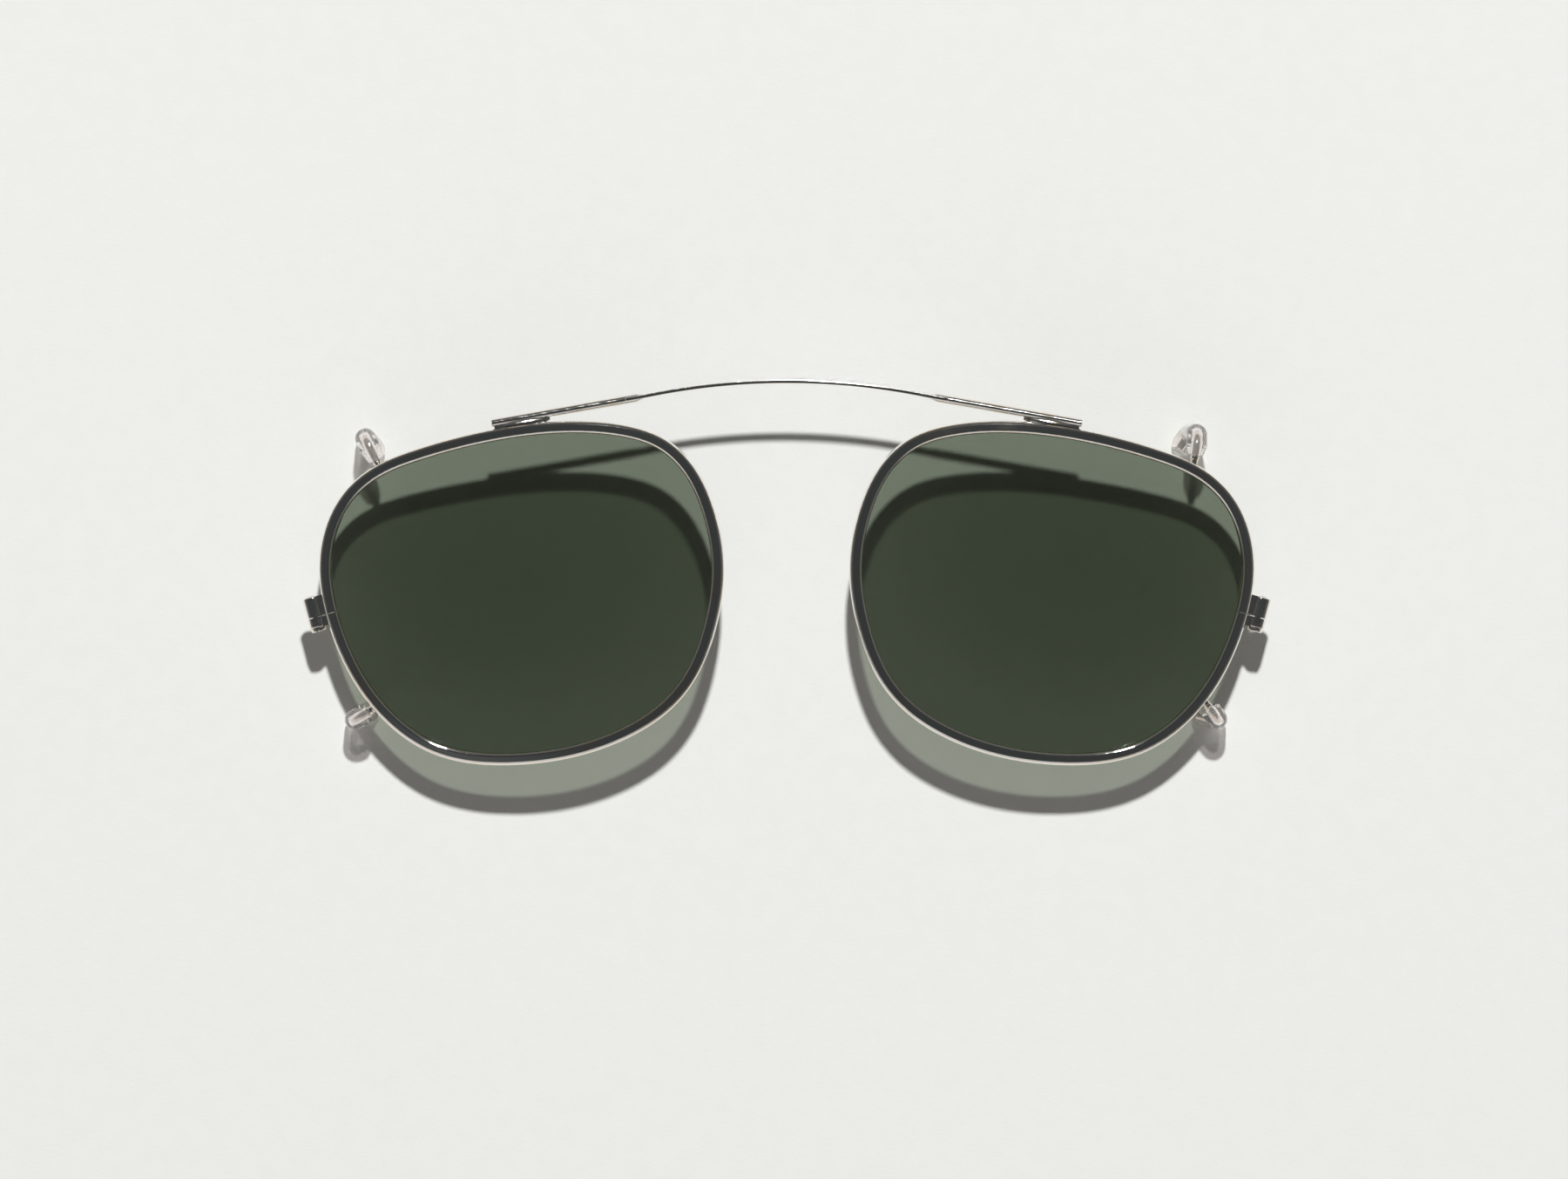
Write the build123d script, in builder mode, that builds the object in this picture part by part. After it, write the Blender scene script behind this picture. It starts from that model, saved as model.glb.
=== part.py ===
"""Clip-on tinted lenses: two rimmed lenses on a spring bridge, hung by four capped prongs.

Frame: +X to the right seen from the front, +Y towards the brow, +Z towards the front of the
lenses.  The clip lies on its four capped prongs, which touch Z = 0.
"""

import os
from math import cos, radians, sin, sqrt, tan

from build123d import *

# Lenses and rims
LENS_SPACING = 70.0        # between the two lens centres
RIM_WIDTH = 1.6            # across the rim, seen from the front
RIM_DEPTH = 2.0            # front to back
RIM_OUTER_FILLET = 0.52    # of the front face's outer edge
RIM_INNER_FILLET = 0.44
RIM_BACK_FILLET = 0.3
BACK_RADIUS = 131.0        # of the sphere that the back of the rim lies on
WRAP = 3.7                 # degrees, each half turned so that its nose side stands higher
TILT = 1.9                 # degrees, each half turned so that its brow side stands higher
APEX_HEIGHT = 12.2         # of that sphere above the table, at the lens centre
CENTRE_BELOW_MIDDLE = 2.75  # lens centres below the middle of the whole clip
LENS_BACK = 0.12           # of the lens above the back of the rim
LENS_FRONT = 1.5
LENS_GAP = 0.04            # all round, between the lens and the rim
LENS_EDGE_FILLET = 0.12
GROOVE_DEPTH = 0.5
GROOVE_BACK = 0.62
GROOVE_FRONT = 1.12
TONGUE_OVERLAP = 0.3       # of the groove and the tongue with the sheet that they belong to

# Closing block beside each rim, on the temple side
BLOCK_PLACE = (-27.5, -2.55)
BLOCK_LEAN = 15.0          # degrees from upright, top outwards
BLOCK_WIDTH = 2.15
BLOCK_DEPTH = 1.9
BLOCK_UPPER = 2.75
BLOCK_LOWER = 1.45
BLOCK_SLIT = 0.1
BLOCK_FILLET = 0.8         # of the long edges
BLOCK_END_FILLET = 0.28
WEB_DEPTH = 1.2            # of the solder web that joins the block to the rim
WEB_INSET = 0.06           # of the web from each end of its half of the block
SCREW_RADIUS = 0.5
SCREW_HOLE_GAP = 0.02
SCREW_HEAD_RADIUS = 1.0
SCREW_HEAD_HEIGHT = 0.48
SCREW_SLOT_WIDTH = 0.28
SCREW_SLOT_DEPTH = 0.22
SCREW_TIP_PROUD = 0.14

# Spring bridge
BRIDGE_HEIGHT = 12.4       # of the middle of the ribbon and the arms
BRIDGE_APEX = 27.93        # of the ribbon above the lens centres
RIBBON_RADIUS = 92.0       # of the arc, seen from the front
RIBBON_HALF_SPAN = 18.5
RIBBON_THICKNESS = 0.45
RIBBON_DEPTH = 1.2
RIBBON_TAIL = 2.3          # let into the slot of each arm
ARM_SLOPE = 10.0           # degrees, each arm falling away from the nose
ARM_RADIUS = 0.53
ARM_START = 0.45           # beyond the end of the ribbon's arc
ARM_END_X = 38.9
ARM_NOSE = 0.9             # length of the taper at the inner end
ARM_NOSE_RADIUS = 0.34
ARM_END_CHAMFER = 0.08
SLOT_GAP = 0.02
SOLDER_INNER_X = 31.7
SOLDER_OUTER_X = 38.5
SOLDER_DEPTH = 0.8
BEAD_INNER_X = 31.2        # of the spindle of solder along the gap
BEAD_OUTER_X = 38.3
BEAD_DROP = 0.72           # of the spindle's axis below the arm's
BEAD_MIDDLE_RADIUS = 0.74
BEAD_END_RADIUS = 0.2

# Prongs and their soft tips
WIRE_RADIUS = 0.5
WIRE_SINK = 0.12           # how far the wire is let into the solder under the rim
BEND_RADIUS = 1.55
SHOULDER_RUN = 0.05        # of full-width tip before its first bend
BASE_RUN = 1.15            # of wire behind the mouth of the tip, under the rim
BEAD_RADIUS = 0.6
BEAD_PLACE = 0.35          # behind the mouth of the tip
TIP_RADIUS = 1.38
TIP_MOUTH_RADIUS = 1.04
TIP_MOUTH_FILLET = 0.16
TIP_BORE_GAP = 0.03
TIP_END_WALL = 0.75        # of soft tip beyond the end of the wire, at the middle of its dome
# Each prong, as X and Y from the middle between the lens centres: the mouth of its tip, where
# it turns back, where it turns inwards again near the table, and where its return leg ends.
PRONGS = {
    "left_upper": ((-54.15, 17.60), (-55.59, 20.47), (-55.59, 20.47), (-54.50, 18.98)),
    "left_lower": ((-55.19, -15.54), (-57.00, -16.63), (-57.00, -16.63), (-55.37, -15.65)),
    "right_upper": ((53.84, 18.29), (54.25, 20.99), (53.25, 21.20), (52.33, 19.85)),
    "right_lower": ((55.78, -15.11), (56.80, -16.57), (56.80, -16.57), (54.95, -16.15)),
}

# Outline of the left rim's outer edge from its lens centre, nose side to +X
OUTLINE = [
    (26.50, 0.0),
    (25.65, 10.4),
    (19.8, 19.8),
    (10.6, 22.6),
    (-1.9, 22.0),
    (-13.5, 19.2),
    (-22.3, 14.7),
    (-26.6, 6.2),
    (-25.4, -4.5),
    (-20.4, -14.3),
    (-12.1, -21.0),
    (-1.0, -22.6),
    (11.6, -20.1),
    (22.0, -12.7),
]

OUTLINE_STATIONS = 28      # points that carry the outline over to a shifted copy of it
REACH = 9.0                # of the straight walls in front of and behind the lens sphere
MIDDLE = -CENTRE_BELOW_MIDDLE

left_plane = Plane(
    origin=(-LENS_SPACING / 2, MIDDLE, APEX_HEIGHT),
    x_dir=(cos(radians(WRAP)), 0, sin(radians(WRAP))),
    z_dir=(-sin(radians(WRAP)), -sin(radians(TILT)), cos(radians(WRAP)) * cos(radians(TILT))),
)
half_left = left_plane.location


with BuildLine() as outer_edge:
    Spline(*OUTLINE, periodic=True)


def outline(shift):
    """The rim's outer edge as a face, moved outwards by shift."""
    curve = outer_edge.wires()[0]
    stations = [index / OUTLINE_STATIONS for index in range(OUTLINE_STATIONS)]
    shifted = []
    for station in stations:
        point = curve @ station
        along = curve % station
        shifted.append((point.X + shift * along.Y, point.Y - shift * along.X))
    with BuildSketch() as shape:
        with BuildLine():
            Spline(*shifted, periodic=True)
        make_face()
    return shape.sketch


def curved_sheet(outer_shift, back, front, inner_shift=None):
    """A plate or ring that follows the lens sphere between two heights above the rim's back."""
    with BuildPart() as sheet:
        with BuildSketch(Plane.XY.offset(-REACH)):
            add(outline(outer_shift))
            if inner_shift is not None:
                add(outline(inner_shift), mode=Mode.SUBTRACT)
        extrude(amount=2 * REACH)
        with Locations((0, 0, -BACK_RADIUS)):
            Sphere(BACK_RADIUS + front, rotation=(90, 0, 0), mode=Mode.INTERSECT)
            Sphere(BACK_RADIUS + back, rotation=(90, 0, 0), mode=Mode.SUBTRACT)
    return sheet.part


def block_plane():
    """Frame of the closing block: its Y along the screw, towards the head's far end."""
    place_x, place_y = BLOCK_PLACE
    middle_radius = BACK_RADIUS + RIM_DEPTH / 2
    drop = middle_radius - sqrt(middle_radius**2 - place_x**2 - place_y**2)
    normal = Vector(place_x, place_y, middle_radius - drop).normalized()
    across = Vector(cos(radians(BLOCK_LEAN)), sin(radians(BLOCK_LEAN)), 0)
    return Plane(origin=(place_x, place_y, RIM_DEPTH / 2 - drop), x_dir=across, z_dir=normal)


block = block_plane()
BLOCK_TOP = (BLOCK_UPPER + BLOCK_LOWER) / 2
BLOCK_SPLIT = BLOCK_TOP - BLOCK_UPPER


def screw_plane(along):
    """Plane across the screw, along millimetres above the block's middle."""
    return Plane(origin=block.from_local_coords((0, along, 0)), z_dir=block.y_dir, x_dir=block.x_dir)


rim_prism = curved_sheet(0, -REACH / 2, REACH / 2)
GROOVE_INNER = -RIM_WIDTH - TONGUE_OVERLAP
groove_ring = curved_sheet(GROOVE_DEPTH - RIM_WIDTH, GROOVE_BACK, GROOVE_FRONT, GROOVE_INNER)
rim_blank = curved_sheet(0, 0, RIM_DEPTH, -RIM_WIDTH)


def sphere_faces(solid):
    """The faces that lie on a lens sphere, from the back one to the front one."""
    curved = solid.faces().filter_by(GeomType.SPHERE)
    return curved.sort_by(lambda face: face.position_at(0.5, 0.5).Z)


def make_rim():
    """Open metal rim: rounded edges, a groove for the lens, and a slit at the closing block."""
    with BuildPart() as rim:
        add(rim_blank)
        fillet(sphere_faces(rim.part)[-1].edges().sort_by(SortBy.LENGTH)[-1], RIM_OUTER_FILLET)
        fillet(sphere_faces(rim.part)[-1].edges().sort_by(SortBy.LENGTH)[0], RIM_INNER_FILLET)
        fillet(sphere_faces(rim.part)[0].edges(), RIM_BACK_FILLET)
        add(groove_ring, mode=Mode.SUBTRACT)
        with BuildSketch(screw_plane(BLOCK_SPLIT)):
            Rectangle(8 * RIM_WIDTH, 4 * RIM_DEPTH)
        extrude(amount=BLOCK_SLIT / 2, both=True, mode=Mode.SUBTRACT)
    return rim.part


def make_lens():
    """Tinted lens with a tongue round its edge that sits in the rim's groove."""
    with BuildPart() as lens:
        add(curved_sheet(-RIM_WIDTH - LENS_GAP, LENS_BACK, LENS_FRONT))
        for face in (sphere_faces(lens.part)[-1], sphere_faces(lens.part)[0]):
            fillet(face.edges(), LENS_EDGE_FILLET)
        tongue_edge = GROOVE_DEPTH - RIM_WIDTH - LENS_GAP
        tongue_ends = (GROOVE_BACK + LENS_GAP, GROOVE_FRONT - LENS_GAP)
        add(curved_sheet(tongue_edge, *tongue_ends, GROOVE_INNER))
    return lens.part


def make_block(low, high, hole_radius):
    """One half of the closing block, between two heights on the screw, and its solder web."""
    height = high - low
    with BuildPart() as half:
        with BuildSketch(screw_plane(low)):
            RectangleRounded(BLOCK_WIDTH, BLOCK_DEPTH, BLOCK_FILLET)
        extrude(amount=height)
        outer_end = half.faces().sort_by(lambda f: abs(block.to_local_coords(f.center()).Y))[-1]
        fillet(outer_end.edges(), BLOCK_END_FILLET)
        with BuildSketch(screw_plane(low + WEB_INSET)):
            with Locations((BLOCK_WIDTH / 2, 0)):
                Rectangle(BLOCK_WIDTH, WEB_DEPTH)
        extrude(amount=height - 2 * WEB_INSET)
        add(rim_prism, mode=Mode.SUBTRACT)
        with BuildSketch(screw_plane(low)):
            Circle(hole_radius)
        extrude(amount=height, mode=Mode.SUBTRACT)
    return half.part


def make_screw():
    """Slotted closing screw, its head under the block and its tip just through the top."""
    bottom = BLOCK_TOP - BLOCK_UPPER - BLOCK_LOWER
    with BuildPart() as screw:
        with BuildSketch(screw_plane(bottom)):
            Circle(SCREW_RADIUS)
        extrude(amount=2 * BLOCK_TOP + SCREW_TIP_PROUD)
        tip = screw.faces().sort_by(lambda f: block.to_local_coords(f.center()).Y)[-1]
        chamfer(tip.edges(), SCREW_RADIUS / 4)
        with BuildSketch(screw_plane(bottom)):
            Circle(SCREW_HEAD_RADIUS)
        extrude(amount=-SCREW_HEAD_HEIGHT)
        head_end = screw.faces().sort_by(lambda f: block.to_local_coords(f.center()).Y)[0]
        fillet(head_end.edges(), SCREW_HEAD_HEIGHT / 3)
        with BuildSketch(screw_plane(bottom - SCREW_HEAD_HEIGHT)):
            Rectangle(SCREW_SLOT_WIDTH, 4 * SCREW_HEAD_RADIUS)
        extrude(amount=SCREW_SLOT_DEPTH, mode=Mode.SUBTRACT)
    return screw.part


# Bridge, in the frame of the whole clip
slope = radians(ARM_SLOPE)
RIBBON_RISE = RIBBON_RADIUS - sqrt(RIBBON_RADIUS**2 - RIBBON_HALF_SPAN**2)
RIBBON_END_Y = MIDDLE + BRIDGE_APEX - RIBBON_RISE
arm_along = Vector(-cos(slope), -sin(slope), 0)
ribbon_end = Vector(-RIBBON_HALF_SPAN, RIBBON_END_Y, BRIDGE_HEIGHT)
arm_start = ribbon_end + arm_along * ARM_START
ARM_LENGTH = (ARM_END_X - RIBBON_HALF_SPAN) / cos(slope) - ARM_START


def arm_y(x):
    """Height towards the brow of the left arm's centre line."""
    return RIBBON_END_Y + (x + RIBBON_HALF_SPAN) * tan(slope)


def make_ribbon():
    """Flat spring strip on edge: an arc that runs out straight into the slots of both arms."""
    left_tail = ribbon_end + arm_along * (ARM_START + RIBBON_TAIL)
    right_tail = Vector(-left_tail.X, left_tail.Y, left_tail.Z)
    apex = Vector(0, MIDDLE + BRIDGE_APEX, BRIDGE_HEIGHT)
    with BuildPart() as ribbon:
        with BuildSketch(Plane.XY.offset(BRIDGE_HEIGHT - RIBBON_DEPTH / 2)):
            with BuildLine() as spine:
                Line((left_tail.X, left_tail.Y), (ribbon_end.X, ribbon_end.Y))
                ThreePointArc(
                    (ribbon_end.X, ribbon_end.Y),
                    (apex.X, apex.Y),
                    (-ribbon_end.X, ribbon_end.Y),
                )
                Line((-ribbon_end.X, ribbon_end.Y), (right_tail.X, right_tail.Y))
            trace(line_width=RIBBON_THICKNESS)
        extrude(amount=RIBBON_DEPTH)
    return ribbon.part


def make_arm():
    """Round bar brazed over the ribbon's tail, tapered at the nose end and cut square outside."""
    profile_plane = Plane(origin=arm_start, x_dir=arm_along, z_dir=(0, 0, 1))
    with BuildPart() as arm:
        with BuildSketch(profile_plane):
            with BuildLine():
                Polyline(
                    (0, 0),
                    (0, ARM_NOSE_RADIUS),
                    (ARM_NOSE, ARM_RADIUS),
                    (ARM_LENGTH - ARM_END_CHAMFER, ARM_RADIUS),
                    (ARM_LENGTH, ARM_RADIUS - ARM_END_CHAMFER),
                    (ARM_LENGTH, 0),
                    close=True,
                )
            make_face()
        revolve(axis=Axis(arm_start, arm_along))
        with BuildSketch(profile_plane):
            Rectangle(2 * (RIBBON_TAIL + SLOT_GAP), RIBBON_THICKNESS + 2 * SLOT_GAP)
        extrude(amount=2 * ARM_RADIUS, both=True, mode=Mode.SUBTRACT)
    return arm.part


def make_solder(rim_wall):
    """Solder between the arm and the top of the rim, flush with the round bar and the rim."""
    corners = [
        (-SOLDER_OUTER_X, arm_y(-SOLDER_OUTER_X)),
        (-SOLDER_INNER_X, arm_y(-SOLDER_INNER_X)),
        (-SOLDER_INNER_X, arm_y(-SOLDER_INNER_X) - 3 * ARM_RADIUS),
        (-SOLDER_OUTER_X, arm_y(-SOLDER_OUTER_X) - 3 * ARM_RADIUS),
    ]
    spindle_start = Vector(-BEAD_INNER_X, arm_y(-BEAD_INNER_X) - BEAD_DROP, BRIDGE_HEIGHT)
    spindle_length = (BEAD_OUTER_X - BEAD_INNER_X) / cos(slope)
    spindle_plane = Plane(origin=spindle_start, x_dir=arm_along, z_dir=(0, 0, 1))
    with BuildPart() as solder:
        with BuildSketch(Plane.XY.offset(BRIDGE_HEIGHT - SOLDER_DEPTH / 2)):
            with BuildLine():
                Polyline(*corners, close=True)
            make_face()
        extrude(amount=SOLDER_DEPTH)
        with BuildSketch(spindle_plane):
            with BuildLine():
                ThreePointArc(
                    (0, BEAD_END_RADIUS),
                    (spindle_length / 2, BEAD_MIDDLE_RADIUS),
                    (spindle_length, BEAD_END_RADIUS),
                )
                Polyline(
                    (spindle_length, BEAD_END_RADIUS),
                    (spindle_length, 0),
                    (0, 0),
                    (0, BEAD_END_RADIUS),
                )
            make_face()
        revolve(axis=Axis(spindle_start, arm_along))
        with BuildSketch(Plane(origin=arm_start, z_dir=arm_along)):
            Circle(ARM_RADIUS)
        extrude(amount=ARM_LENGTH, mode=Mode.SUBTRACT)
        add(rim_wall, mode=Mode.SUBTRACT)
    return solder.part


def rim_back_height(x, y):
    """Height of the back of either rim above the table."""
    centre = left_plane.from_local_coords((0, 0, -BACK_RADIUS))
    return centre.Z + sqrt(BACK_RADIUS**2 - (-abs(x) - centre.X) ** 2 - (y - centre.Y) ** 2)


def prong_places(mouth, turn, low_turn, end):
    """The prong's corner points and directions, from its four places seen from the front."""
    outward = Vector(turn[0] - mouth[0], turn[1] - mouth[1], 0)
    run = outward.length
    outward = outward.normalized()
    mouth_low = Vector(mouth[0], mouth[1] + MIDDLE, 0)
    root = mouth_low - outward * BASE_RUN
    leg_height = rim_back_height(root.X, root.Y) - WIRE_RADIUS + WIRE_SINK
    up = Vector(0, 0, leg_height)
    low = Vector(0, 0, TIP_RADIUS)
    turn_out = mouth_low + outward * run
    turn_in = Vector(low_turn[0], low_turn[1] + MIDDLE, 0)
    back_end = Vector(end[0], end[1] + MIDDLE, 0)
    return {
        "root": root + up,
        "mouth": mouth_low + up,
        "shoulder": turn_out - outward * (BEND_RADIUS + SHOULDER_RUN) + up,
        "top_corner": turn_out + up,
        "low_corner": turn_in + low,
        "end": back_end + low,
        "outward": outward,
        "inward": (back_end - turn_in).normalized(),
    }


def bent_rod(start, places, finish, radius):
    """Round rod along the prong: out, down and back inwards, with a wide bend at each corner."""
    with BuildPart() as rod:
        with BuildLine() as path:
            FilletPolyline(
                start,
                places["top_corner"],
                places["low_corner"],
                finish,
                radius=BEND_RADIUS,
            )
        with BuildSketch(Plane(origin=start, z_dir=places["outward"])):
            Circle(radius)
        sweep(path=path.wires()[0])
    return rod.part


def make_prong(places, rim_solid):
    """Metal wire prong with a solder bead where it leaves the back of the rim."""
    wire_end = places["end"] + places["inward"] * (TIP_RADIUS - TIP_END_WALL)
    bead_centre = places["mouth"] - places["outward"] * BEAD_PLACE
    with BuildPart() as prong:
        add(bent_rod(places["root"], places, wire_end, WIRE_RADIUS))
        with Locations(Plane(origin=bead_centre, z_dir=places["outward"], x_dir=(0, 0, -1))):
            Sphere(BEAD_RADIUS)
        add(rim_solid, mode=Mode.SUBTRACT)
    return prong.part


def make_tip(places):
    """Soft clear sleeve over the prong, narrow at its mouth and domed at its closed end."""
    outward = places["outward"]
    wire_end = places["end"] + places["inward"] * (TIP_RADIUS - TIP_END_WALL + TIP_BORE_GAP)
    with BuildPart() as tip:
        with BuildSketch(Plane(origin=places["mouth"], z_dir=outward)):
            Circle(TIP_MOUTH_RADIUS)
        with BuildSketch(Plane(origin=places["shoulder"], z_dir=outward)):
            Circle(TIP_RADIUS)
        loft()
        mouth_face = tip.faces().sort_by(lambda f: (f.center() - places["mouth"]).length)[0]
        fillet(mouth_face.edges(), TIP_MOUTH_FILLET)
        add(bent_rod(places["shoulder"], places, places["end"], TIP_RADIUS))
        with Locations(places["end"]):
            Sphere(TIP_RADIUS)
        bore_start = places["mouth"] - outward * BEAD_PLACE
        bore = bent_rod(bore_start, places, wire_end, WIRE_RADIUS + TIP_BORE_GAP)
        add(bore, mode=Mode.SUBTRACT)
    return tip.part


def write(piece, name):
    """Write one finished piece under its node's name."""
    piece.label = name
    export_step(piece, f"parts/{name}.step")


os.makedirs("parts", exist_ok=True)

# Pieces of the left half that lie in the frame of its lens
lens_frame_pieces = {
    "rim": make_rim(),
    "lens": make_lens(),
    "closing_block_upper": make_block(BLOCK_SPLIT + BLOCK_SLIT / 2, BLOCK_TOP, SCREW_RADIUS),
    "closing_block_lower": make_block(
        -BLOCK_TOP,
        BLOCK_SPLIT - BLOCK_SLIT / 2,
        SCREW_RADIUS + SCREW_HOLE_GAP,
    ),
    "closing_screw": make_screw(),
}
left = {name: piece.moved(half_left) for name, piece in lens_frame_pieces.items()}
left["bridge_arm"] = make_arm()
left["arm_solder"] = make_solder(rim_prism.moved(half_left))

for name, piece in left.items():
    write(piece, f"left_{name}")
    write(mirror(piece, about=Plane.YZ), f"right_{name}")

right_rim = mirror(left["rim"], about=Plane.YZ)
for name, prong_points in PRONGS.items():
    places = prong_places(*prong_points)
    rim_solid = left["rim"] if name.startswith("left") else right_rim
    write(make_prong(places, rim_solid), f"{name}_prong")
    write(make_tip(places), f"{name}_tip")

write(make_ribbon(), "bridge_spring")
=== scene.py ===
"""Clip-on tinted lenses, finished as they look lying on a pale table under a studio lamp.

The frame's parts keep their shapes and get their finishes here.  The spring ribbon of the bridge
is modelled anew, because it bends between the two halves.
"""

import math

import bpy
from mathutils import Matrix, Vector


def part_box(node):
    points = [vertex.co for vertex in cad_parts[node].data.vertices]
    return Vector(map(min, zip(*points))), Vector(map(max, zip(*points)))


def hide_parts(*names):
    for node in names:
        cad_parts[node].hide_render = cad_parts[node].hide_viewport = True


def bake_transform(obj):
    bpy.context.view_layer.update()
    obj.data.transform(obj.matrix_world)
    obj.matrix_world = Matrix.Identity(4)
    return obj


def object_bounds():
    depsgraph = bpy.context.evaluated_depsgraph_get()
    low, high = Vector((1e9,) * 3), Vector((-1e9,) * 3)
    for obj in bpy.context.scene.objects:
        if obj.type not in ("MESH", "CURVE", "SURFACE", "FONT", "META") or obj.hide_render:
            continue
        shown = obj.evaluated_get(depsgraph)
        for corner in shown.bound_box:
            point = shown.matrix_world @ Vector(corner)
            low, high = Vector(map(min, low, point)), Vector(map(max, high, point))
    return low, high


bl_info = {
    "name": "Clip-on Lenses",
    "version": (1, 0, 0),
    "blender": (4, 5, 0),
    "location": "View3D > Sidebar > Clip-on",
    "description": "Finishes a clip-on pair of tinted lenses and models its spring bridge",
    "category": "Object",
}

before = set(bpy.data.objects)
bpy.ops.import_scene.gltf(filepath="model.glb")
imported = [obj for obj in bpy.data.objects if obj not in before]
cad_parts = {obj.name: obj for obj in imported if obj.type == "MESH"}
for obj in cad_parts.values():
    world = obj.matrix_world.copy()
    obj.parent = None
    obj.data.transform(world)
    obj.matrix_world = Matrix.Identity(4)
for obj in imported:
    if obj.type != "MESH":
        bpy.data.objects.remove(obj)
CAD_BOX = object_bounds()

MM = 0.001
SIDES = ("left", "right")
RIBBON_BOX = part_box("bridge_spring")
RIM_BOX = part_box("left_rim")

LAMP_DIRECTION = (0.04, 0.587, 1.0)     # from the clip to the key lamp
WINDOW_DIRECTION = (-0.24, -0.97)       # X and Y of the room's open side
WINDOW_RISE = (0.35, 0.9)               # where its light begins, and where it is full
WALL_TOP = (0.25, 0.94)                 # steepness at which the walls begin and have ended
CLIP_RANGE = (0.1, 50.0)                # that the camera sees, in metres
TAIL_STEPS = 4                          # of each straight tail of the ribbon
BEVEL_STEPS = 3                         # across the rounding of the ribbon's edges
CORNER_ANGLE = math.radians(50)         # from which an edge of the ribbon is rounded
SMOOTH_ANGLE = math.radians(40)         # up to which the ribbon is shaded smooth
LINE_STRETCH = 0.06                     # drawn lines are longer than they are wide by its inverse
TURNING_PITCH = 0.06 * MM               # of the rings on the screws
BAND_WIDTH = 0.05                       # of the band texture at a scale of one
TINY = 0.001 * MM                       # below this, two points are one


# Shader nodes --------------------------------------------------------------------------------


class Wire:
    """A node's output that can be used in sums, as a number can."""

    def __init__(self, finish, socket):
        self.finish = finish
        self.socket = socket

    def maths(self, operation, first, second):
        return self.finish.node("ShaderNodeMath", {"operation": operation}, {0: first, 1: second})

    def __add__(self, other):
        return self.maths("ADD", self, other)

    def __radd__(self, other):
        return self.maths("ADD", other, self)

    def __sub__(self, other):
        return self.maths("SUBTRACT", self, other)

    def __rsub__(self, other):
        return self.maths("SUBTRACT", other, self)

    def __mul__(self, other):
        return self.maths("MULTIPLY", self, other)

    def __rmul__(self, other):
        return self.maths("MULTIPLY", other, self)

    def __pow__(self, other):
        return self.maths("POWER", self, other)

    def smooth(self, low, high):
        """0 up to low and 1 from high on, with an even rise between them."""
        settings = {"interpolation_type": "SMOOTHSTEP"}
        return self.finish.node("ShaderNodeMapRange", settings, {0: self, 1: low, 2: high})


class Finish:
    """The node tree of one material or world, built up a node at a time."""

    def __init__(self, owner):
        self.owner = owner
        owner.use_nodes = True
        self.tree = owner.node_tree
        self.tree.nodes.clear()

    def node(self, kind, settings=None, values=None, output=0):
        """Adds a node, sets it up, fills its sockets with numbers or wires, returns an output."""
        made = self.tree.nodes.new(kind)
        for name, value in (settings or {}).items():
            setattr(made, name, value)
        for name, value in (values or {}).items():
            if isinstance(value, Wire):
                self.tree.links.new(value.socket, made.inputs[name])
            else:
                made.inputs[name].default_value = value
        return Wire(self, made.outputs[output])

    def place(self, stretch=(1, 1, 1), turn=0.0):
        """Object coordinates, stretched along each axis and turned about Z."""
        plain = self.node("ShaderNodeTexCoord", output="Object")
        values = {"Vector": plain, "Scale": stretch, "Rotation": (0, 0, turn)}
        return self.node("ShaderNodeMapping", {}, values)

    def noise(self, place, size, detail=2.0, harshness=0.5):
        """Noise whose spots are about as wide as size, in metres of the given place."""
        values = {"Vector": place, "Scale": 1 / size, "Detail": detail, "Roughness": harshness}
        return self.node("ShaderNodeTexNoise", {}, values)

    def mixed(self, share, first, second):
        """The first colour where share is 0, and the second where it is 1."""
        settings = {"data_type": "RGBA"}
        return self.node("ShaderNodeMix", settings, {0: share, 6: first, 7: second}, output=2)

    def bump(self, height, distance, strength=1.0):
        """A normal for relief that is distance deep where height goes from 0 to 1."""
        values = {"Height": height, "Distance": distance, "Strength": strength}
        return self.node("ShaderNodeBump", {}, values)

    def either(self, share, first, second):
        """A Mix Shader: the first shader where share is 0, and the second where it is 1."""
        return self.node("ShaderNodeMixShader", {}, {0: share, 1: first, 2: second})

    def output(self, shader, kind="ShaderNodeOutputMaterial"):
        """Shows the shader, and returns the finished material or world."""
        end = self.tree.nodes.new(kind)
        self.tree.links.new(shader.socket, end.inputs["Surface"])
        return self.owner


def new_finish(name):
    """An empty node tree in a new material of that name."""
    return Finish(bpy.data.materials.new(name))


def colour(rgb, factor=1.0):
    """A colour property as a socket wants it, made darker or lighter by factor."""
    return tuple(channel * factor for channel in rgb[:3]) + (1.0,)


def dress(material, *names):
    """Gives these frame parts their material in place of the plain one that they came with."""
    for name in names:
        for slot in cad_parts[name].material_slots:
            slot.material = material


def both_sides(*names):
    """The names of these parts on the left half and on the right half."""
    return [side + "_" + name for side in SIDES for name in names]


# Finishes of the metal parts -------------------------------------------------------------------


def plated(finish, sizes, tone, roughness, normal, tarnish):
    """Polished plating: its tone and roughness vary, and it is warmer where tarnish is 1."""
    bright = colour(sizes.plating, tone)
    warm = colour(sizes.tarnish, tone)
    values = {
        "Base Color": finish.mixed(tarnish, bright, warm),
        "Metallic": 1.0,
        "Roughness": roughness,
        "Normal": normal,
    }
    return finish.output(finish.node("ShaderNodeBsdfPrincipled", {}, values))


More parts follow.
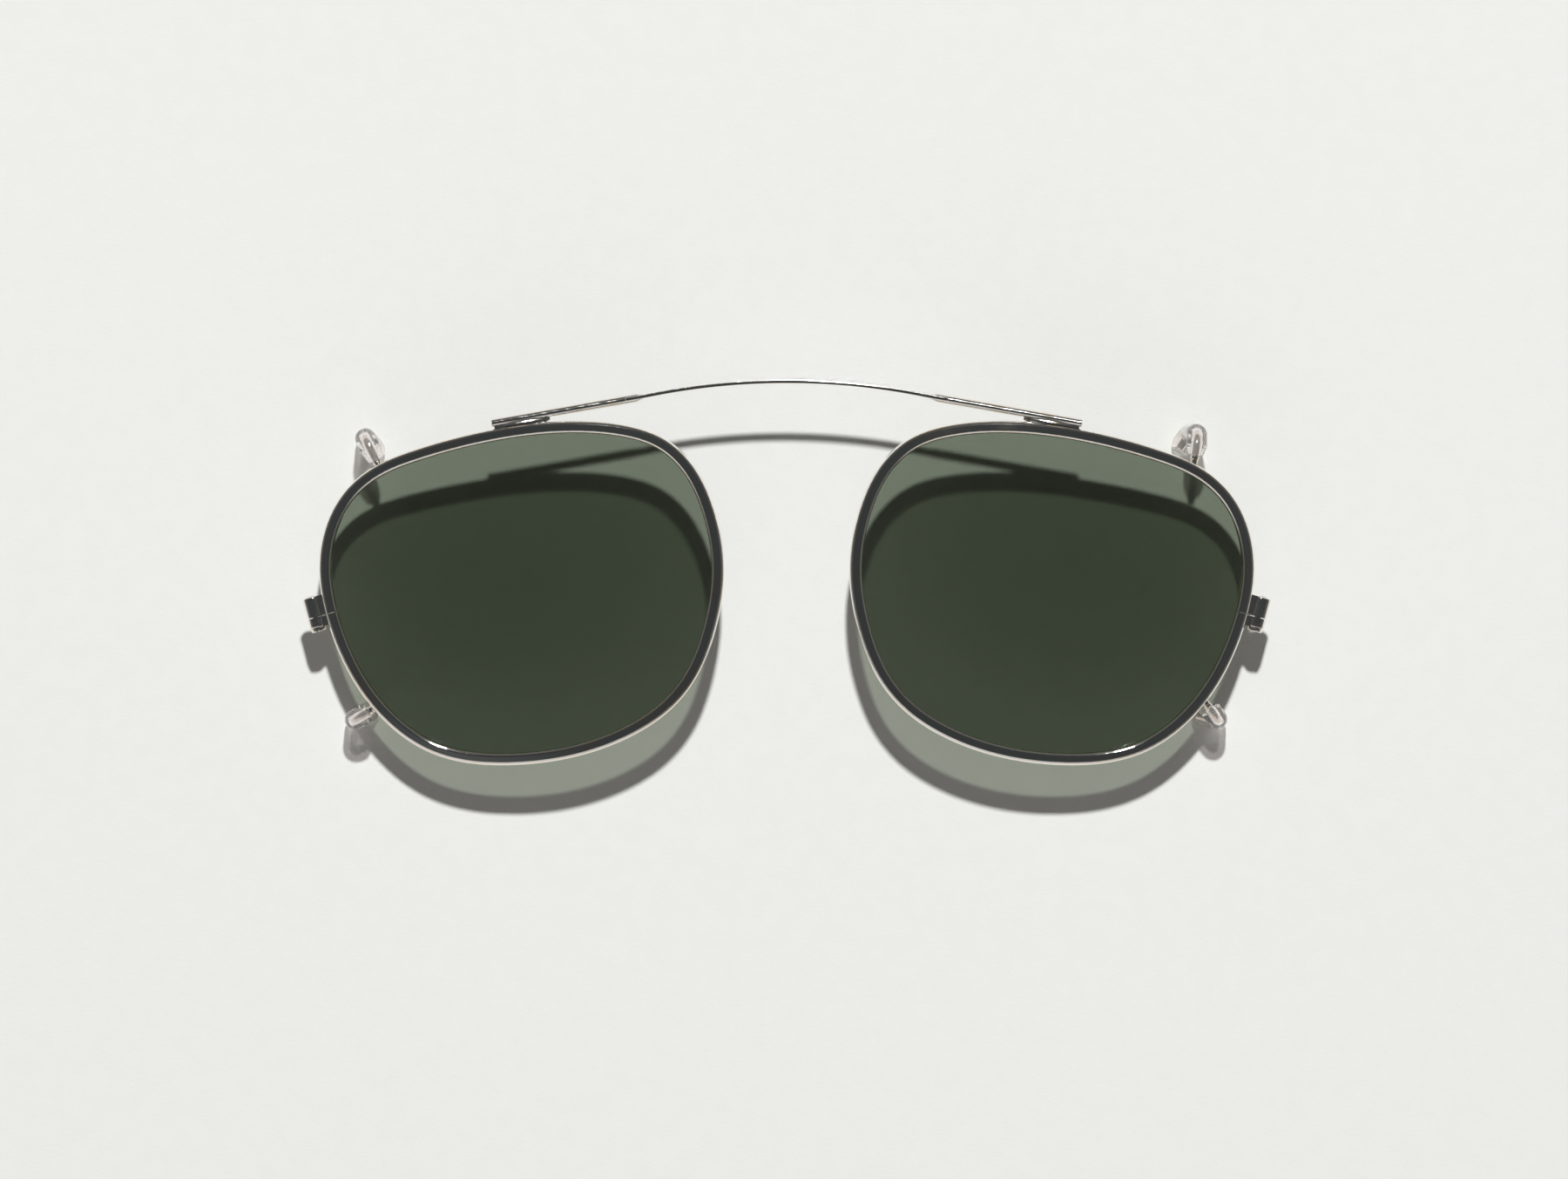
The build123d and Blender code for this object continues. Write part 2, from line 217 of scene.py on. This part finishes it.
def rim_metal(sizes):
    """Mirror-polished rim wire: soft waves from polishing, hairlines, a faint film."""
    finish = new_finish("rim_metal")
    place = finish.place()
    waves = finish.noise(place, 4 * MM, detail=1.0)
    film = finish.noise(place, 9 * MM, detail=3.0).smooth(0.45, 0.75)
    hairlines = finish.noise(finish.place((1, 7, 3), 0.5), 0.5 * MM, detail=4.0).smooth(0.6, 0.75)
    roughness = sizes.polish + 0.05 * hairlines + 0.04 * film
    normal = finish.bump(waves + 0.05 * hairlines, 0.004 * MM)
    return plated(finish, sizes, 1.0, roughness, normal, 0.35 * film)


def block_metal(sizes):
    """Small tumbled blocks: slightly duller than the rims, with pitted corners."""
    finish = new_finish("block_metal")
    place = finish.place()
    pits = finish.noise(place, 0.18 * MM, detail=3.0).smooth(0.62, 0.78)
    tumbling = finish.noise(place, 0.7 * MM, detail=2.0)
    roughness = sizes.polish + 0.03 + 0.08 * tumbling + 0.15 * pits
    normal = finish.bump(0.4 * tumbling - 0.5 * pits, 0.008 * MM)
    return plated(finish, sizes, 0.97, roughness, normal, 0.5 * pits)


def screw_metal(sizes):
    """Turned screws: fine rings round the shank and the head."""
    finish = new_finish("screw_metal")
    place = finish.place((1, 1, 1), sizes.screw_lean)
    settings = {"wave_type": "BANDS", "bands_direction": "Y"}
    values = {"Vector": place, "Scale": BAND_WIDTH / TURNING_PITCH}
    values.update({"Distortion": 0.6, "Detail": 1.0})
    rings = finish.node("ShaderNodeTexWave", settings, values, output="Fac")
    smears = finish.noise(place, 0.4 * MM, detail=2.0).smooth(0.5, 0.8)
    roughness = sizes.polish + 0.06 + 0.08 * rings + 0.06 * smears
    normal = finish.bump(rings, 0.002 * MM)
    return plated(finish, sizes, 0.95, roughness, normal, 0.4 * smears)


def drawn_metal(name, sizes, slope, hairline, tone):
    """Drawn stock: lines along its length, which runs at slope from the X axis."""
    finish = new_finish(name)
    along = finish.place((LINE_STRETCH, 1, 1), slope)
    lines = finish.noise(along, hairline, detail=3.0)
    blush = finish.noise(finish.place(), 3 * MM, detail=2.0).smooth(0.5, 0.8)
    roughness = sizes.polish + 0.02 + 0.08 * lines.smooth(0.45, 0.7)
    normal = finish.bump(lines, 0.0015 * MM)
    return plated(finish, sizes, tone, roughness, normal, 0.45 * blush)


def prong_metal(sizes):
    """Bent wire: stretched grain on the bends and a warmer film near the solder."""
    finish = new_finish("prong_metal")
    grain = finish.noise(finish.place((1, 1, 0.2)), 0.12 * MM, detail=3.0)
    film = finish.noise(finish.place(), 0.9 * MM, detail=2.0).smooth(0.45, 0.75)
    roughness = sizes.polish + 0.05 + 0.1 * grain.smooth(0.5, 0.75)
    normal = finish.bump(grain, 0.002 * MM)
    return plated(finish, sizes, 0.95, roughness, normal, 0.6 * film)


def solder_metal(sizes):
    """Flowed solder: lumpy, a little rougher, and warm where it thins out."""
    finish = new_finish("solder_metal")
    place = finish.place()
    lumps = finish.noise(place, 0.9 * MM, detail=1.0)
    grain = finish.noise(place, 0.1 * MM, detail=3.0).smooth(0.5, 0.8)
    roughness = sizes.polish + 0.07 + 0.1 * grain
    normal = finish.bump(lumps + 0.05 * grain, 0.03 * MM)
    return plated(finish, sizes, 1.0, roughness, normal, 0.5 * lumps.smooth(0.5, 0.7))


# Finishes of the clear parts --------------------------------------------------------------------


def tinted_lens(sizes):
    """Dyed lens: each face lets through the square root of the tint and mirrors a little."""
    finish = new_finish("tinted_lens")
    place = finish.place()
    smudge = finish.noise(finish.place((1, 2.2, 1), 0.6), 9 * MM, detail=4.0).smooth(0.52, 0.8)
    dust = finish.noise(place, 0.16 * MM, detail=1.0).smooth(0.8, 0.86)
    flatness = finish.bump(finish.noise(place, 14 * MM, detail=0.0), 0.003 * MM)
    through = tuple(math.sqrt(channel) for channel in sizes.tint[:3]) + (1.0,)
    clear = finish.node("ShaderNodeBsdfTransparent", {}, {"Color": through})
    mirror_values = {
        "Base Color": colour((1, 1, 1)),
        "Metallic": 1.0,
        "Roughness": 0.01 + 0.1 * smudge + 0.4 * dust,
        "Normal": flatness,
    }
    mirror = finish.node("ShaderNodeBsdfPrincipled", {}, mirror_values)
    straight_on = ((sizes.index - 1) / (sizes.index + 1)) ** 2
    facing = finish.node("ShaderNodeLayerWeight", {}, {"Blend": 0.5}, output="Facing")
    gloss = straight_on + (1 - straight_on) * facing ** 5
    share = gloss + 0.006 * smudge + 0.01 * dust
    return finish.output(finish.either(share, clear, mirror))


def clear_tip(sizes):
    """Soft clear tip: slightly milky, with moulding ripples and lint on its surface."""
    finish = new_finish("clear_tip")
    place = finish.place()
    ripples = finish.noise(place, 0.8 * MM, detail=1.0)
    lint = finish.noise(place, 0.12 * MM, detail=2.0).smooth(0.62, 0.78)
    haze = finish.noise(place, 1.6 * MM, detail=2.0).smooth(0.4, 0.7)
    pale = colour(sizes.colour)
    milky = colour(sizes.colour, 0.93)
    values = {
        "Base Color": finish.mixed(haze, pale, milky),
        "Roughness": sizes.roughness + 0.06 * haze + 0.15 * lint,
        "IOR": sizes.index,
        "Transmission Weight": 1.0 - sizes.milkiness,
        "Normal": finish.bump(ripples + 0.2 * lint, 0.02 * MM),
    }
    soft = finish.node("ShaderNodeBsdfPrincipled", {}, values)
    clear = finish.node("ShaderNodeBsdfTransparent", {}, {"Color": colour(sizes.colour)})
    lamp_ray = finish.node("ShaderNodeLightPath", output="Is Shadow Ray")
    return finish.output(finish.either(sizes.lamp_share * lamp_ray, soft, clear))


def table_top(sizes):
    """Matt off-white board with a faint fibre grain."""
    finish = new_finish("table_top")
    place = finish.place()
    fibres = finish.noise(finish.place((1, 1.6, 1), 0.7), 0.7 * MM, detail=5.0, harshness=0.65)
    mottle = finish.noise(place, 3 * MM, detail=4.0)
    base = colour(sizes.table_colour)
    shade = colour(sizes.table_colour, 0.988)
    values = {
        "Base Color": finish.mixed(mottle.smooth(0.35, 0.65), base, shade),
        "Roughness": 0.9,
        "Specular IOR Level": 0.1,
        "Normal": finish.bump(fibres, 0.05 * MM, 0.7),
    }
    return finish.output(finish.node("ShaderNodeBsdfPrincipled", {}, values))


# Modelling --------------------------------------------------------------------------------------


def select_faces(piece, test):
    """In edit mode, selects only the faces whose centre passes test."""
    bpy.ops.mesh.select_all(action="DESELECT")
    bpy.ops.object.mode_set(mode="OBJECT")
    for face in piece.data.polygons:
        face.select = test(face.center)
    bpy.ops.object.mode_set(mode="EDIT")


def apply_modifier(piece, kind, settings):
    """Gives the active piece a modifier with these settings, and applies it."""
    modifier = piece.modifiers.new(kind.title(), kind)
    for name, value in settings.items():
        setattr(modifier, name, value)
    bpy.ops.object.modifier_apply(modifier=modifier.name)


def model_ribbon(sizes):
    """One half is spun and extruded from a flat section at the apex, then mirrored."""
    low, high = RIBBON_BOX
    middle = (0, high.y - sizes.thickness / 2, (low.z + high.z) / 2)
    centre = (0, high.y - sizes.radius, middle[2])
    arc = math.asin(sizes.half_span / sizes.radius)
    bpy.ops.object.select_all(action="DESELECT")
    bpy.ops.mesh.primitive_plane_add(size=1, location=middle, rotation=(0, math.pi / 2, 0))
    piece = bpy.context.object
    piece.name = "bridge_ribbon"
    bpy.ops.object.mode_set(mode="EDIT")
    section = (1, sizes.thickness, high.z - low.z)
    bpy.ops.transform.resize(value=section, center_override=middle)
    bpy.ops.mesh.spin(steps=sizes.segments, angle=arc, center=centre, axis=(0, 0, 1))
    end_x = (sizes.radius - sizes.thickness / 2) * math.sin(arc)
    reach = high.x - end_x - sizes.thickness / 2 * math.sin(sizes.slope)
    stride = (reach / TAIL_STEPS, -reach / TAIL_STEPS * math.tan(sizes.slope), 0)
    for _ in range(TAIL_STEPS):
        bpy.ops.mesh.extrude_region_move(TRANSFORM_OT_translate={"value": stride})
    bpy.ops.object.mode_set(mode="OBJECT")
    bpy.ops.object.transform_apply(location=True, rotation=True, scale=True)
    bpy.ops.object.mode_set(mode="EDIT")
    select_faces(piece, lambda place: place.x < TINY)
    bpy.ops.mesh.delete(type="ONLY_FACE")
    bpy.ops.object.mode_set(mode="OBJECT")
    apply_modifier(piece, "MIRROR", {"merge_threshold": TINY})
    bpy.ops.object.mode_set(mode="EDIT")
    bpy.ops.mesh.select_all(action="SELECT")
    bpy.ops.mesh.remove_doubles(threshold=TINY)
    bpy.ops.mesh.normals_make_consistent(inside=False)
    bpy.ops.object.mode_set(mode="OBJECT")
    rounding = {"width": sizes.edge, "segments": BEVEL_STEPS, "angle_limit": CORNER_ANGLE}
    apply_modifier(piece, "BEVEL", rounding)
    bpy.ops.object.shade_smooth_by_angle(angle=SMOOTH_ANGLE)
    return piece


def add_lamp(name, place, target, size, power, tint):
    """A round soft lamp at place that faces target."""
    bpy.ops.object.select_all(action="DESELECT")
    bpy.ops.object.light_add(type="AREA", location=place)
    lamp = bpy.context.object
    lamp.name = name
    lamp.data.shape = "DISK"
    lamp.data.size = size
    lamp.data.energy = power
    lamp.data.color = tint[:3]
    lamp.rotation_mode = "QUATERNION"
    lamp.rotation_quaternion = (lamp.location - target).to_track_quat("Z", "Y")
    lamp.visible_camera = False
    return lamp


def light_room(scene, sizes):
    """A room that is dim overhead, paler low down, and brightest on the wearer's side."""
    room = Finish(bpy.data.worlds.new("room"))
    scene.world = room.owner
    direction = room.node("ShaderNodeTexCoord", output="Generated")
    split = {"Vector": direction}
    across = room.node("ShaderNodeSeparateXYZ", {}, split, output="X")
    deep = room.node("ShaderNodeSeparateXYZ", {}, split, output="Y")
    height = room.node("ShaderNodeSeparateXYZ", {}, split, output="Z")
    side_x, side_y = WINDOW_DIRECTION
    window = (side_x * across + side_y * deep).smooth(*WINDOW_RISE)
    walls = 1 - height.smooth(*WALL_TOP)
    level = sizes.overhead_light + sizes.wall_light * walls + sizes.window_light * window
    shade = room.mixed(walls, colour(sizes.overhead_colour), colour(sizes.room_colour))
    values = {"Color": shade, "Strength": level}
    light = room.node("ShaderNodeBackground", {}, values, output="Background")
    room.output(light, "ShaderNodeOutputWorld")


# Sizes and colours that a user may change --------------------------------------------------------


def colour_property(name, description, default):
    return bpy.props.FloatVectorProperty(
        name=name, description=description, default=default, size=3, min=0, max=1, subtype="COLOR"
    )


def share_property(name, description, default):
    return bpy.props.FloatProperty(
        name=name, description=description, default=default, min=0, max=1, subtype="FACTOR"
    )


def length_property(name, description, default):
    return bpy.props.FloatProperty(
        name=name, description=description, default=default, min=0, subtype="DISTANCE", unit="LENGTH"
    )


class MetalSizes(bpy.types.PropertyGroup):
    """Plating of the metal parts."""

    plating: colour_property("Plating", "Colour of the bright plating", (0.90, 0.87, 0.82))
    tarnish: colour_property("Tarnish", "Colour of the warm film in places", (0.86, 0.68, 0.44))
    polish: share_property("Polish", "Roughness of clean plating", 0.05)
    screw_lean: bpy.props.FloatProperty(
        name="Screw lean",
        description="Turn of the closing screws from the Y axis",
        default=math.radians(15),
        subtype="ANGLE",
        unit="ROTATION",
    )
    arm_slope: bpy.props.FloatProperty(
        name="Arm slope",
        description="Fall of each bridge arm away from the nose",
        default=math.radians(10),
        subtype="ANGLE",
        unit="ROTATION",
    )


class LensSizes(bpy.types.PropertyGroup):
    """Dye and gloss of the lenses."""

    tint: colour_property("Tint", "Light let through by a whole lens", (0.200, 0.232, 0.184))
    index: bpy.props.FloatProperty(
        name="Refractive index", description="Sets how strongly the lens mirrors", default=1.5
    )


class TipSizes(bpy.types.PropertyGroup):
    """Soft clear tips of the prongs."""

    colour: colour_property("Colour", "Colour of the clear soft plastic", (0.95, 0.92, 0.91))
    roughness: share_property("Roughness", "Roughness of the clean surface", 0.05)
    milkiness: share_property("Milkiness", "Share of light scattered at the surface", 0.08)
    lamp_share: share_property("Lamp share", "Share of lamp light let into the tip", 0.45)
    index: bpy.props.FloatProperty(
        name="Refractive index", description="Bends the view of the wire inside", default=1.41
    )


class RibbonSizes(bpy.types.PropertyGroup):
    """Spring ribbon between the bridge arms."""

    thickness: length_property("Thickness", "Thickness of the strip", 0.45 * MM)
    radius: length_property("Radius", "Radius of the arc, outer side", 92.225 * MM)
    half_span: length_property("Half span", "Half the span of the arc", 18.545 * MM)
    edge: length_property("Edge", "Rounding of the strip's edges", 0.07 * MM)
    slope: bpy.props.FloatProperty(
        name="Tail slope",
        description="Fall of each straight tail inside its arm",
        default=math.radians(10),
        subtype="ANGLE",
        unit="ROTATION",
    )
    segments: bpy.props.IntProperty(
        name="Segments", description="Steps along each half of the arc", default=48, min=8
    )


class StageSizes(bpy.types.PropertyGroup):
    """Table, lamp and camera."""

    table_colour: colour_property("Table", "Colour of the table top", (0.880, 0.875, 0.845))
    table_size: length_property("Table size", "Side of the table top", 9.0)
    lamp_distance: length_property("Lamp distance", "From the clip to the key lamp", 4.0)
    lamp_size: length_property("Lamp size", "Width of the key lamp", 0.2)
    lamp_power: bpy.props.FloatProperty(
        name="Lamp power", description="Power of the key lamp", default=152.0, unit="POWER"
    )
    lamp_colour: colour_property("Lamp colour", "Colour of the key lamp", (0.985, 0.998, 1.0))
    overhead_light: share_property("Overhead light", "Brightness of the room overhead", 0.045)
    wall_light: share_property("Wall light", "Extra brightness low down, all round", 0.1)
    window_light: share_property("Window light", "Extra brightness on the open side", 0.6)
    room_colour: colour_property("Room colour", "Colour of the walls' light", (1.0, 0.90, 0.84))
    overhead_colour: colour_property("Overhead colour", "Colour overhead", (0.86, 0.95, 1.0))
    camera_distance: length_property("Camera distance", "Above the lenses", 2.5)
    view_width: length_property("View width", "Width that the camera sees there", 206.4 * MM)
    view_x: length_property("View X", "Middle of the view", -0.37 * MM)
    view_y: bpy.props.FloatProperty(
        name="View Y", description="Middle of the view", default=-2.18 * MM, subtype="DISTANCE"
    )


# Operators ---------------------------------------------------------------------------------------


class CLIPON_OT_rims(bpy.types.Operator):
    """Polish the two rims"""

    bl_idname = "clipon.rims"
    bl_label = "Finish rims"

    def execute(self, context):
        dress(rim_metal(context.scene.clipon_metal), *both_sides("rim"))
        return {"FINISHED"}


class CLIPON_OT_lenses(bpy.types.Operator):
    """Tint the two lenses"""

    bl_idname = "clipon.lenses"
    bl_label = "Finish lenses"

    def execute(self, context):
        dress(tinted_lens(context.scene.clipon_lens), *both_sides("lens"))
        return {"FINISHED"}


class CLIPON_OT_closures(bpy.types.Operator):
    """Finish the closing blocks and their screws"""

    bl_idname = "clipon.closures"
    bl_label = "Finish closing blocks"

    def execute(self, context):
        metal = context.scene.clipon_metal
        blocks = both_sides("closing_block_upper", "closing_block_lower")
        dress(block_metal(metal), *blocks)
        dress(screw_metal(metal), *both_sides("closing_screw"))
        return {"FINISHED"}


class CLIPON_OT_arms(bpy.types.Operator):
    """Finish the bridge arms and the solder that holds them"""

    bl_idname = "clipon.arms"
    bl_label = "Finish bridge arms"

    def execute(self, context):
        metal = context.scene.clipon_metal
        for side, turn in (("left", -1), ("right", 1)):
            name = side + "_arm_metal"
            material = drawn_metal(name, metal, turn * metal.arm_slope, 0.09 * MM, 0.97)
            dress(material, side + "_bridge_arm")
        dress(solder_metal(metal), *both_sides("arm_solder"))
        return {"FINISHED"}


class CLIPON_OT_ribbon(bpy.types.Operator):
    """Model the spring ribbon that joins the two halves"""

    bl_idname = "clipon.ribbon"
    bl_label = "Model spring ribbon"

    def execute(self, context):
        sizes = context.scene.clipon_ribbon
        piece = model_ribbon(sizes)
        metal = context.scene.clipon_metal
        piece.data.materials.append(drawn_metal("spring_metal", metal, 0.0, 0.05 * MM, 1.0))
        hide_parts("bridge_spring")
        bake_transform(piece)
        return {"FINISHED"}


class CLIPON_OT_prongs(bpy.types.Operator):
    """Finish the four wire prongs"""

    bl_idname = "clipon.prongs"
    bl_label = "Finish prongs"

    def execute(self, context):
        material = prong_metal(context.scene.clipon_metal)
        dress(material, *both_sides("upper_prong", "lower_prong"))
        return {"FINISHED"}


class CLIPON_OT_tips(bpy.types.Operator):
    """Make the four soft tips clear"""

    bl_idname = "clipon.tips"
    bl_label = "Finish soft tips"

    def execute(self, context):
        dress(clear_tip(context.scene.clipon_tip), *both_sides("upper_tip", "lower_tip"))
        return {"FINISHED"}


class CLIPON_OT_stage(bpy.types.Operator):
    """Lay the table, light it and place the camera"""

    bl_idname = "clipon.stage"
    bl_label = "Set the stage"

    def execute(self, context):
        sizes = context.scene.clipon_stage
        low, high = CAD_BOX
        middle = (low + high) / 2
        bpy.ops.object.select_all(action="DESELECT")
        bpy.ops.mesh.primitive_plane_add(size=sizes.table_size, location=(0, 0, 0))
        table = context.object
        table.name = "table"
        table.data.materials.append(table_top(sizes))
        towards_lamp = Vector(LAMP_DIRECTION).normalized()
        place = middle + towards_lamp * sizes.lamp_distance
        args = (sizes.lamp_size, sizes.lamp_power, sizes.lamp_colour)
        add_lamp("key_lamp", place, middle, *args)
        light_room(context.scene, sizes)
        bpy.ops.object.select_all(action="DESELECT")
        height = RIM_BOX[1].z + sizes.camera_distance
        bpy.ops.object.camera_add(location=(sizes.view_x, sizes.view_y, height), rotation=(0, 0, 0))
        camera = context.object
        camera.data.lens = camera.data.sensor_width * sizes.camera_distance / sizes.view_width
        camera.data.clip_start, camera.data.clip_end = CLIP_RANGE
        context.scene.camera = camera
        context.scene.view_settings.view_transform = "Standard"
        return {"FINISHED"}


class CLIPON_PT_panel(bpy.types.Panel):
    """Lists the steps that finish the clip-on lenses"""

    bl_idname = "CLIPON_PT_panel"
    bl_label = "Clip-on Lenses"
    bl_space_type = "VIEW_3D"
    bl_region_type = "UI"
    bl_category = "Clip-on"

    def draw(self, context):
        for group in GROUPS:
            box = self.layout.box()
            settings = getattr(context.scene, group)
            for name in GROUPS[group].__annotations__:
                box.prop(settings, name)
        for step in STEPS:
            self.layout.operator(step.bl_idname)


GROUPS = {
    "clipon_metal": MetalSizes,
    "clipon_lens": LensSizes,
    "clipon_tip": TipSizes,
    "clipon_ribbon": RibbonSizes,
    "clipon_stage": StageSizes,
}
STEPS = (
    CLIPON_OT_rims,
    CLIPON_OT_lenses,
    CLIPON_OT_closures,
    CLIPON_OT_arms,
    CLIPON_OT_ribbon,
    CLIPON_OT_prongs,
    CLIPON_OT_tips,
    CLIPON_OT_stage,
)


def register():
    for kind in (*GROUPS.values(), *STEPS, CLIPON_PT_panel):
        bpy.utils.register_class(kind)
    for name, kind in GROUPS.items():
        setattr(bpy.types.Scene, name, bpy.props.PointerProperty(type=kind))


def unregister():
    for name in GROUPS:
        delattr(bpy.types.Scene, name)
    for kind in reversed((*GROUPS.values(), *STEPS, CLIPON_PT_panel)):
        bpy.utils.unregister_class(kind)


def main():
    register()
    bpy.ops.clipon.rims()
    bpy.ops.clipon.lenses()
    bpy.ops.clipon.closures()
    bpy.ops.clipon.arms()
    bpy.ops.clipon.ribbon()
    bpy.ops.clipon.prongs()
    bpy.ops.clipon.tips()
    bpy.ops.clipon.stage()


if __name__ == "__main__":
    main()
